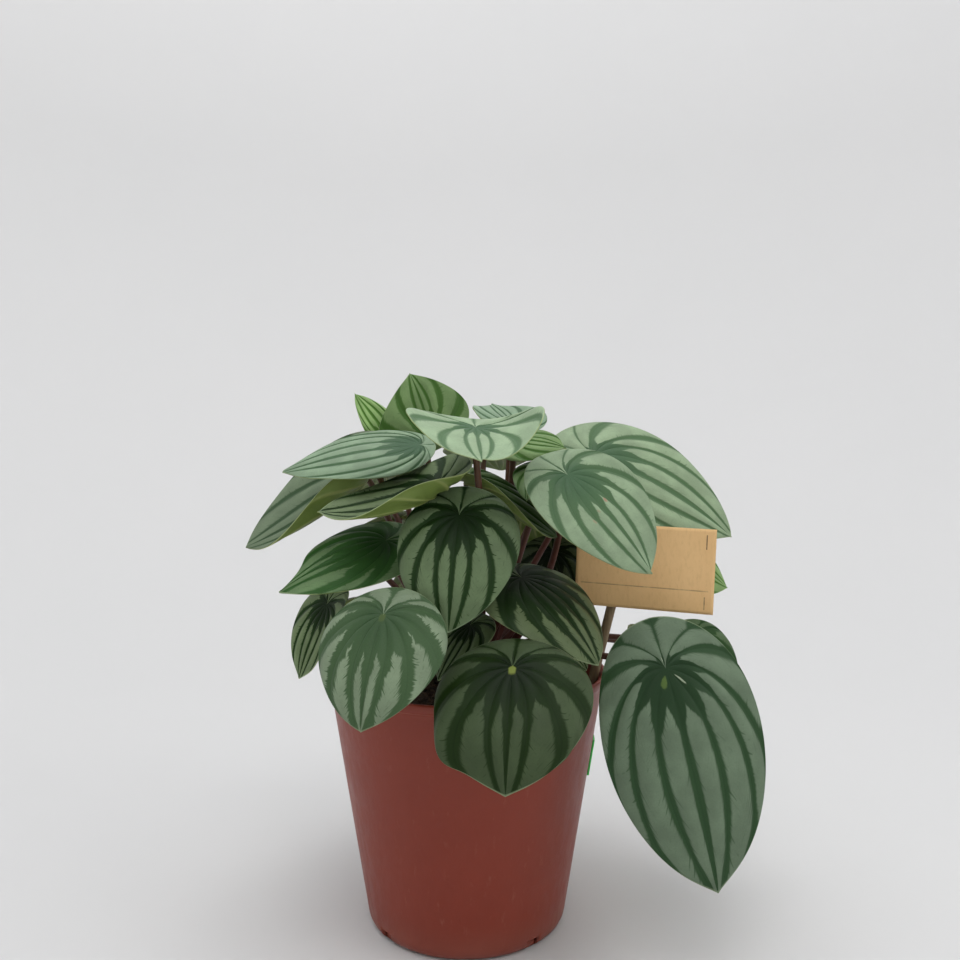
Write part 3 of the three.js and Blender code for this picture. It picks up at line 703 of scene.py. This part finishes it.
def tube(mesh, rings, along, on_map, caps, cap_size):
    """A tube through the rings, with flat ends. caps are the ends' places in the bake map."""
    rows, sides = rings.shape[:2]
    first = mesh.grid(rings, wrap=True, OFBake=on_map, Along=lambda r, c: (along[r], 0.0))
    for ring, order, (u, v) in ((0, -1, caps[0]), (rows - 1, 1, caps[1])):
        columns = range(sides)[::order]
        spots = [(u + cap_size[0] * math.cos(2 * math.pi * c / sides),
                  v + cap_size[1] * math.sin(2 * math.pi * c / sides)) for c in columns]
        mesh.face([first + ring * sides + c for c in columns], OFBake=spots,
                  Along=[(along[ring], 0.0)] * sides)


def petiole_material():
    tree = Tree("petiole")
    along, _ = tree.map("Along")
    where = tree.place_in_object()
    streak = tree.noise(tree.drawn_out(where, 0.12), 900.0, 3.0)
    blotch = tree.noise(where, 120.0, 3.0)
    low = tree.mix(blotch, (0.038, 0.008, 0.008), (0.09, 0.018, 0.014))
    high = tree.mix(blotch, (0.08, 0.032, 0.018), (0.11, 0.075, 0.03))
    colour = tree.mix(tree.smooth(0.35, 1.0, along), low, high)
    colour = tree.mix(streak * 0.3, colour, (0.12, 0.06, 0.036))
    tree.bump(streak, 0.0004, 0.4)
    return tree.finish(colour, 0.42, 0.3)


def crown_and_petioles():
    mesh = Mesh("OFBake", "Along")
    lanes = len(LEAVES) + 1
    share = np.linspace(0, 1, PETIOLE_RINGS) ** 0.9
    neck = PETIOLE_FOOT + (PETIOLE_NECK - PETIOLE_FOOT) * smooth(0, 0.45, share)
    radii = neck + (PETIOLE_FLARE - PETIOLE_NECK) * smooth(0.9, 1.0, share)

    def add(rings, lane, along):
        rows, sides = rings.shape[:2]
        middle = (lane + 0.5) / lanes
        tube(mesh, rings, along,
             lambda r, c: ((lane + 0.05 + 0.9 * c / sides) / lanes, 0.02 + 0.95 * r / (rows - 1)),
             ((middle, 0.005), (middle, 0.985)), (0.3 / lanes, 0.004))

    for lane, leaf in enumerate(LEAVES.values()):
        add(tube_rings(petiole_path(leaf, share), radii, PETIOLE_SIDES), lane, share)

    rng = np.random.default_rng(5)
    heights = np.linspace(CROWN_BOTTOM, CROWN_TOP, CROWN_RINGS)[:, None]
    rounded = 1 - ((heights - CROWN_MIDDLE) / CROWN_HALF_HEIGHT) ** 4
    outline = CROWN_RADIUS * np.sqrt(np.clip(rounded, 0.02, 1))
    around = circle(CROWN_SIDES)
    lumps = 1 - 0.07 * (1 + np.sin(around * 5 + heights * 0.8 + rng.uniform(0, 6))) / 2
    add(turned(outline * lumps, heights, around), lanes - 1, np.zeros(CROWN_RINGS))
    piece = mesh.build("crown_with_petioles", [petiole_material()])
    return place(piece, "petiole", "crown_and_petioles")


# --------------------- pot
POT_COLUMNS = 240
NOTCH_HALF_COLUMNS = 3
NOTCH_PATCH = 0.955             # where the notches begin in the bake map


def pot_profile():
    """From the middle of the underside, up the outside, over the lip and down inside.
    Returns the points and the rows of the notch's four corners."""
    outside = [(0, 0), (15, 0), (30, 0), (POT_FOOT_RADIUS, 0)]
    corner = [(NOTCH_INNER_RADIUS, 0.55), (POT_FOOT_RADIUS + 2.6, 1.6), (42.5, 3.4),
              (POT_WALL_FOOT_RADIUS - 0.15, NOTCH_HEIGHT)]
    wall = [(wall_radius(z), z) for z in np.linspace(POT_FOOT_HEIGHT, LIP_BOTTOM - 0.3, 40)]
    lip_foot = wall_radius(LIP_BOTTOM)
    lip_foot = wall_radius(LIP_BOTTOM)
    lip = [(lip_foot + 0.25, LIP_BOTTOM - 0.05), (lip_foot + POT_LIP_STEP - 0.1, LIP_BOTTOM + 0.3),
           (lip_foot + POT_LIP_STEP, LIP_BOTTOM + 0.8), (POT_RIM_RADIUS, POT_HEIGHT - 0.9),
           (POT_RIM_RADIUS - 0.12, POT_HEIGHT - 0.35),
           (POT_RIM_RADIUS - 0.45, POT_HEIGHT - 0.05),
           (POT_RIM_RADIUS - 0.9, POT_HEIGHT), (POT_RIM_RADIUS - 1.5, POT_HEIGHT - 0.1),
           (WALL_TOP_RADIUS - POT_WALL + 0.1, POT_HEIGHT - 0.6)]
    inner = [(wall_radius(z) - POT_WALL, z)
             for z in np.linspace(POT_HEIGHT - 1.5, POT_FOOT_HEIGHT, 30)]
    floor = [(41.0, NOTCH_HEIGHT), (NOTCH_INNER_RADIUS, 2.9), (POT_FOOT_RADIUS, 2.0),
             (30, POT_WALL), (15, POT_WALL), (0, POT_WALL)]
    points = outside + corner + wall + lip + inner + floor
    low_out = len(outside)
    high_out = low_out + len(corner) - 1
    high_in = len(points) - len(floor)
    return np.array(points, float), (low_out, high_out, high_in, high_in + 1)


def pot():
    profile, (low_out, high_out, high_in, low_in) = pot_profile()
    angles = math.radians(NOTCH_PHASE) + circle(POT_COLUMNS)
    run = np.concatenate(([0], np.cumsum(np.hypot(*np.diff(profile, axis=0).T))))
    run = run / run[-1]
    mesh = Mesh("OFBake")
    first = mesh.add_points(turned(profile[:, :1], profile[:, 1:], angles))
    per_notch = POT_COLUMNS // NOTCH_COUNT

    def face(cells, spots):
        mesh.face([first + r * POT_COLUMNS + c % POT_COLUMNS for r, c in cells], OFBake=spots)

    def in_notch(column):
        return (column + NOTCH_HALF_COLUMNS) % per_notch < 2 * NOTCH_HALF_COLUMNS

    open_rows = {*range(low_out, high_out), *range(high_in, low_in)}
    for row in range(len(profile) - 1):
        for column in range(POT_COLUMNS):
            if row in open_rows and in_notch(column):
                continue
            cells = [(row, column), (row, column + 1), (row + 1, column + 1), (row + 1, column)]
            face(cells, [(0.01 + 0.94 * c / POT_COLUMNS, 0.01 + 0.98 * run[r]) for r, c in cells])

    ring = [*range(low_out, high_out + 1), *range(high_in, low_in + 1)]
    for notch in range(NOTCH_COUNT):
        left = notch * per_notch - NOTCH_HALF_COLUMNS
        right = notch * per_notch + NOTCH_HALF_COLUMNS
        patch = notch / NOTCH_COUNT
        for column in range(left, right):
            u = NOTCH_PATCH + (column - left) * 0.005
            for start, end, v in ((high_out, high_in, patch), (low_in, low_out, patch + 0.06)):
                face([(start, column), (start, column + 1), (end, column + 1), (end, column)],
                     [(u, v), (u + 0.005, v), (u + 0.005, v + 0.04), (u, v + 0.04)])
        for column, order, u in ((left, -1, NOTCH_PATCH), (right, 1, NOTCH_PATCH + 0.02)):
            face([(row, column) for row in ring][::order],
                 [(u + 0.002 * i, patch + 0.12 + 0.01 * (i % 3)) for i in range(len(ring))])
    return place(mesh.build("pot_shell", [pot_material()]), "pot_plastic", "pot")


def pot_material():
    tree = Tree("pot_plastic")
    where = tree.place_in_object()
    x, y, z = tree.axes(where)
    around = tree.math("ARCTAN2", y, x)
    cloud = tree.noise(where, 22.0, 4.0)
    speck = tree.noise(where, 900.0, 2.0)
    scuff = tree.noise(tree.vector(around * 12.0, z * 90.0), 1.0, 5.0, 0.7)
    colour = tree.mix(cloud, (0.20, 0.0285, 0.013), (0.245, 0.039, 0.0195))
    colour = tree.mix(tree.smooth(0.56, 0.8, scuff) * 0.22, colour, (0.42, 0.2, 0.14))
    foot = tree.smooth(0.0, 0.018, z, 0.2, 0.0)
    colour = tree.mix(foot * cloud, colour, (0.30, 0.22, 0.17))
    tree.bump(speck * 0.5 + scuff, 0.0004, 0.22)
    return tree.finish(colour, tree.smooth(0.3, 0.75, scuff, 0.36, 0.52), 0.35)


# --------------------- soil
SOIL_COLUMNS = 120
SOIL_RINGS = 40
CRUMBS = 520
CRUMB_REACH = 53.5              # how far from the middle the outermost lie


def soil_material():
    tree = Tree("soil")
    where = tree.place_in_object()
    crumb = tree.noise(where, 420.0, 5.0, 0.7)
    patch = tree.noise(where, 60.0, 3.0)
    colour = tree.mix(tree.smooth(0.35, 0.7, crumb), (0.010, 0.007, 0.005), (0.075, 0.048, 0.032))
    colour = tree.mix(tree.smooth(0.5, 0.75, patch, 0.0, 0.5), colour, (0.05, 0.03, 0.02))
    tree.bump(crumb, 0.002, 0.9)
    return tree.finish(colour, 0.92, 0.2)


def soil_lumps(x, y):
    return np.sin(x * 0.31 + 1) * np.cos(y * 0.27) + np.sin(x * 0.13 - y * 0.37)


def soil(material):
    """The soil's top with fine lumps, and the plain sides and floor that the pot hides."""
    rng = np.random.default_rng(11)
    edge = wall_radius(SOIL_TOP - 1) - POT_WALL - SOIL_WALL_GAP
    radius = np.linspace(0, 1, SOIL_RINGS) ** 0.8 * edge
    angles = circle(SOIL_COLUMNS)
    x = radius[:, None] * np.cos(angles)
    y = radius[:, None] * np.sin(angles)
    fine = sum(a * np.sin(x * f * math.cos(p) + y * f * math.sin(p) + q)
               for a, f, p, q in zip((0.35, 0.3, 0.25, 0.2), (0.9, 1.3, 1.9, 2.6),
                                     rng.uniform(0, 3.1, 4), rng.uniform(0, 6.3, 4)))
    fade = smooth(edge, edge - 3, radius)[:, None]
    top = SOIL_TOP - 1 + fade * (1 + SOIL_RIPPLE * soil_lumps(x, y) + fine * 0.8)
    floor = POT_WALL + 1.2
    sides = np.array([(wall_radius(POT_FOOT_HEIGHT + 4) - POT_WALL - SOIL_WALL_GAP,
                       POT_FOOT_HEIGHT + 4), (POT_FOOT_RADIUS - 1.5, floor), (0.0, floor)])
    mesh = Mesh("OFBake")
    points = np.concatenate((turned(radius[:, None], top, angles),
                             turned(sides[:, :1], sides[:, 1:], angles)))
    first = mesh.add_points(points)

    def on_map(row, column, on_top):
        """A disc for the top, and a strip beside it for the sides and floor."""
        if on_top:
            turn = 2 * np.pi * column / SOIL_COLUMNS
            reach = 0.36 * radius[row] / edge
            return 0.38 + reach * math.cos(turn), 0.5 + reach * math.sin(turn)
        return 0.78 + 0.2 * column / SOIL_COLUMNS, max(0.02, 0.1 + 0.3 * (row - SOIL_RINGS))

    for row in range(len(points) - 1):
        for column in range(SOIL_COLUMNS):
            cells = [(row, column), (row + 1, column), (row + 1, column + 1), (row, column + 1)]
            mesh.face([first + r * SOIL_COLUMNS + c % SOIL_COLUMNS for r, c in cells],
                      OFBake=[on_map(r, c, row < SOIL_RINGS - 1) for r, c in cells])
    place(mesh.build("soil_bed", [material]), "soil", "soil")


def soil_crumbs(material):
    """Crumbs of bark and peat that lie in the soil's top."""
    rng = np.random.default_rng(23)
    shape = bmesh.new()
    bmesh.ops.create_icosphere(shape, subdivisions=1, radius=1.0)
    corners = np.array([v.co for v in shape.verts])
    triangles = [[v.index for v in f.verts] for f in shape.faces]
    shape.free()
    mesh = Mesh("OFBake")
    side = math.ceil(math.sqrt(CRUMBS))
    for i in range(CRUMBS):
        turn = rng.uniform(0, 2 * np.pi)
        reach = math.sqrt(rng.uniform(0.03, 1.0)) * CRUMB_REACH
        x, y = reach * math.cos(turn), reach * math.sin(turn)
        size = rng.uniform(0.5, 1.6) * rng.uniform(0.7, 1.2, 3) * (1.0, 1.0, 0.6)
        rough = corners * rng.uniform(0.75, 1.2, (len(corners), 1)) * size
        spin = rng.uniform(0, 2 * np.pi)
        spun = rough @ np.array(((math.cos(spin), -math.sin(spin), 0),
                                 (math.sin(spin), math.cos(spin), 0), (0, 0, 1)))
        z = SOIL_TOP + SOIL_RIPPLE * float(soil_lumps(x, y)) + 0.2
        first = mesh.add_points(spun + (x, y, z))
        cell = np.array((i % side, i // side)) / side
        for triangle in triangles:
            spots = [tuple(cell + (0.5 + 0.4 * corners[c][0], 0.5 + 0.4 * corners[c][1])
                           / np.array(side)) for c in triangle]
            mesh.face([first + c for c in triangle], OFBake=spots)
    place(mesh.build("soil_crumbs", [material]), "soil")


# --------------------- card, stick, sticker
CARD_GRID = (26, 40)            # rows and columns
CARD_HALF = 0.3                 # half its thickness
STICKER_GRID = (12, 24)
STICK_SIDES = 24
STICK_DOME = 0.975              # where its rounded head begins, as a share of its length
CARD_BROWN = (0.10, 0.055, 0.03)


def card_frame():
    turn, tilt = math.radians(-CARD_TURN), math.radians(-CARD_TILT)
    across = np.array((math.cos(turn) * math.cos(tilt), math.sin(turn) * math.cos(tilt),
                       -math.sin(tilt)))
    through = np.array((-math.sin(turn), math.cos(turn), 0.0))
    return across, through, np.cross(across, through)


def card_material():
    tree = Tree("kraft_card")
    u, v = tree.map("Face")
    where = tree.place_in_object()
    fibre = tree.noise(tree.drawn_out(where, 0.35), 900.0, 5.0, 0.7)
    cloud = tree.noise(where, 60.0, 3.0)
    colour = tree.mix(cloud, (0.72, 0.45, 0.205), (0.82, 0.55, 0.27))
    colour = tree.mix(tree.smooth(0.45, 0.8, fibre, 0.0, 0.3), colour, (0.48, 0.28, 0.115))

    def band(value, middle, half):
        return tree.smooth(half * 0.7, half, abs(value - middle), 1.0, 0.0)

    def within(value, low, high):
        return tree.math("GREATER_THAN", value, low) * tree.math("LESS_THAN", value, high)

    rule = band(v, 0.27, 0.008) * within(u, 0.04, 0.96)
    slits = band(u, 0.935, 0.005) * tree.math("MAXIMUM", within(v, 0.76, 0.93),
                                              within(v, 0.05, 0.2))
    worn = tree.smooth(0.3, 0.6, tree.noise(where, 350.0, 3.0), 0.45, 1.0)
    colour = tree.mix(rule * worn * 0.5, colour, CARD_BROWN)
    colour = tree.mix(slits * worn * 0.8, colour, CARD_BROWN)
    tree.bump(fibre, 0.0002, 0.5)
    return tree.finish(colour, 0.82, 0.25)


def two_sheets(name, sheets, materials, slots, width, rim):
    """A front and a rear sheet, joined round their border. slots are the materials of front,
    rear and border, and width and rim place the sheets and the border in the bake map."""
    mesh = Mesh("OFBake", "Face")
    rows, columns = sheets[0].shape[:2]

    def on_face(r, c):
        return c / (columns - 1), r / (rows - 1)

    def on_map(side):
        return lambda r, c: (0.02 + width * c / (columns - 1),
                             0.02 + 0.46 * r / (rows - 1) + 0.5 * side)

    front, rear = [mesh.grid(points, slots[side], flip=side == 1, OFBake=on_map(side),
                             Face=on_face) for side, points in enumerate(sheets)]
    border = ([(0, j) for j in range(columns)] + [(i, columns - 1) for i in range(1, rows)]
              + [(rows - 1, j) for j in range(columns - 2, -1, -1)]
              + [(i, 0) for i in range(rows - 2, 0, -1)])
    for index, (r, c) in enumerate(border):
        s, d = border[(index + 1) % len(border)]
        a, b = r * columns + c, s * columns + d
        low, high = index / len(border), (index + 1) / len(border)
        mesh.face([front + b, front + a, rear + a, rear + b], slots[2],
                  OFBake=[(rim[0], high), (rim[0], low), (rim[1], low), (rim[1], high)],
                  Face=[(0.5, 0.5)] * 4)
    return mesh.build(name, materials)


def card():
    across, through, upward = card_frame()
    rows, columns = CARD_GRID
    u, v = np.meshgrid(np.linspace(-0.5, 0.5, columns), np.linspace(-0.5, 0.5, rows))
    bow = -0.7 * (1 - (2 * u) ** 2) * (0.6 + 0.4 * v) + 0.35 * (2 * v) ** 2 * u
    middle = (np.array(CARD_CENTRE) + u[..., None] * CARD_WIDTH * across
              + v[..., None] * CARD_HEIGHT * upward + bow[..., None] * through)
    sheets = (middle - through * CARD_HALF, middle + through * CARD_HALF)
    piece = two_sheets("card_sheet", sheets, [card_material(), plain_card_material()],
                       (0, 1, 1), 0.94, (0.975, 0.985))
    place(piece, "card", "tag_card")


def plain_card_material():
    tree = Tree("kraft_back")
    where = tree.place_in_object()
    fibre = tree.noise(where, 900.0, 5.0, 0.7)
    colour = tree.mix(tree.smooth(0.35, 0.8, fibre), (0.52, 0.35, 0.18), (0.34, 0.21, 0.10))
    tree.bump(fibre, 0.0002, 0.5)
    return tree.finish(colour, 0.85, 0.2)


def stick_material():
    tree = Tree("stick_wood")
    along, _ = tree.map("Along")
    grain = tree.noise(tree.drawn_out(tree.place_in_object(), 0.08), 1400.0, 4.0, 0.6)
    colour = tree.mix(grain, (0.15, 0.1, 0.058), (0.32, 0.235, 0.14))
    colour = tree.mix(tree.smooth(0.9, 1.0, along, 0.0, 0.4), colour, (0.30, 0.2, 0.13))
    tree.bump(grain, 0.0004, 0.5)
    return tree.finish(colour, 0.6, 0.35)


def stick():
    foot, head = np.array(STICK_FOOT, float), np.array(STICK_HEAD, float)
    share = np.concatenate((np.linspace(0, 0.985, 24), (0.992, 0.997, 1.0)))
    into_dome = np.clip(share - STICK_DOME, 0, 1) / (1.0005 - STICK_DOME)
    radii = STICK_RADIUS * np.sqrt(np.clip(1 - into_dome ** 2, 0.02, 1))
    mesh = Mesh("OFBake", "Along")
    tube(mesh, tube_rings(foot + share[:, None] * (head - foot), radii, STICK_SIDES), share,
         lambda r, c: (0.02 + 0.9 * c / STICK_SIDES, 0.02 + 0.95 * share[r]),
         ((0.955, 0.1), (0.955, 0.6)), (0.02, 0.1))
    place(mesh.build("stick_round", [stick_material()]), "stick", "tag_stick")


def sticker_material():
    tree = Tree("sticker_green")
    where = tree.place_in_object()
    fibre = tree.noise(where, 500.0, 3.0)
    _, v = tree.map("Face")
    worn = tree.smooth(0.55, 0.7, tree.noise(where, 260.0, 4.0)) * 0.5
    colour = tree.mix(fibre, (0.08, 0.80, 0.13), (0.14, 0.95, 0.22))
    border = tree.smooth(0.40, 0.42, abs(v - 0.5), 0.0, 0.25)
    colour = tree.mix(border, colour, (0.02, 0.3, 0.05))
    colour = tree.mix(worn, colour, (0.03, 0.38, 0.06))
    tree.bump(fibre, 0.0002, 0.4)
    return tree.finish(colour, 0.45, 0.4)


def sticker():
    rows, columns = STICKER_GRID
    angles = np.radians(STICKER_ANGLE + STICKER_SPAN * np.linspace(-0.5, 0.5, columns))
    heights = (STICKER_BOTTOM + STICKER_HEIGHT * np.linspace(0, 1, rows))[:, None]
    sheets = [turned(wall_radius(heights) + lift, heights, angles)
              for lift in (FIT_GAP + STICKER_THICKNESS, FIT_GAP * 0.2)]
    piece = two_sheets("sticker_label", sheets, [sticker_material()], (0, 0, 0), 0.9,
                       (0.96, 0.98))
    place(piece, "sticker", "pot_sticker")


# --------------------- floor, light, camera
CAMERA_PLACE = (5.8, -400.8, 210)
CAMERA_TILT = 3                 # degrees below level
CAMERA_LENS = 35.06             # millimetres, on a sensor 36 wide
FLOOR_RADIUS = 420
SWEEP_RADIUS = 620
WALL_HEIGHT = 1300
STUDIO_COLUMNS = 96
DAYLIGHT = (0.93, 0.96, 1.0, 1.0)
DAYLIGHT_STRENGTH = 0.9

# Each lamp: its place, what it aims at, its width, its power and its colour.
LAMPS = {
    "overhead": ((-150, 100, 1500), (0, 0, 100), 1200, 5, (1.0, 0.99, 0.97)),
    "front": ((-50, -1150, 1100), (0, 0, 120), 1300, 14.5, (1.0, 0.99, 0.97)),
    "right": ((950, -500, 650), (60, 0, 60), 800, 6, (1.0, 0.99, 0.97)),
    "wall_wash": ((0, 150, 1300), (0, 1000, 350), 600, 2, (1.0, 0.99, 0.98)),
}


def studio():
    """A pale floor that sweeps up all round, well outside the object."""
    profile = [(0, 0), (200, 0), (FLOOR_RADIUS, 0)]
    profile += [(FLOOR_RADIUS + SWEEP_RADIUS * math.sin(turn),
                 SWEEP_RADIUS - SWEEP_RADIUS * math.cos(turn))
                for turn in np.linspace(0.08, math.pi / 2, 20)]
    profile = np.array(profile + [(FLOOR_RADIUS + SWEEP_RADIUS, WALL_HEIGHT)])
    mesh = Mesh("OFBake")
    mesh.grid(turned(profile[:, :1], profile[:, 1:], circle(STUDIO_COLUMNS)), wrap=True,
              OFBake=lambda r, c: (c / STUDIO_COLUMNS, r / len(profile)))
    tree = Tree("studio_pale")
    cloud = tree.noise(tree.place_in_object(), 3.0, 3.0)
    material = tree.finish(tree.mix(cloud, (0.625, 0.625, 0.625), (0.65, 0.645, 0.645)), 0.9, 0.1)
    floor = mesh.build("studio_floor", [material])


def area_light(name, place_mm, aim_mm, size_mm, power, colour):
    data = bpy.data.lights.new(name, "AREA")
    data.shape = "DISK"
    data.size = size_mm * MM
    data.energy = power
    data.color = colour
    lamp = bpy.data.objects.new(name, data)
    lamp.location = Vector(place_mm) * MM
    aim = Vector(aim_mm) * MM - lamp.location
    lamp.rotation_euler = aim.to_track_quat("-Z", "Y").to_euler()
    bpy.context.scene.collection.objects.link(lamp)


def lights():
    world = bpy.data.worlds.new("soft_day")
    bpy.context.scene.world = world
    world.use_nodes = True
    background = world.node_tree.nodes["Background"]
    background.inputs["Color"].default_value = DAYLIGHT
    background.inputs["Strength"].default_value = DAYLIGHT_STRENGTH
    for name, lamp in LAMPS.items():
        area_light(name, *lamp)


def camera():
    data = bpy.data.cameras.new("photo_view")
    data.lens = CAMERA_LENS
    data.sensor_width = 36
    data.clip_start = 0.01
    data.clip_end = 20
    eye = bpy.data.objects.new("photo_view", data)
    eye.location = Vector(CAMERA_PLACE) * MM
    eye.rotation_euler = (math.radians(90 - CAMERA_TILT), 0, 0)
    bpy.context.scene.collection.objects.link(eye)
    bpy.context.scene.camera = eye


# --------------------- assembly
camera()
lights()
studio()
bpy.context.scene.view_settings.view_transform = "Standard"

UPPER = {name: upper_material(name, look) for name, look in LOOKS.items()}
UNDERSIDE = lower_material()
for number, (leaf_name, leaf) in enumerate(LEAVES.items()):
    blade(leaf_name, leaf, number + 1)
crown_and_petioles()
pot()
soil_finish = soil_material()
soil(soil_finish)
soil_crumbs(soil_finish)
card()
stick()
sticker()
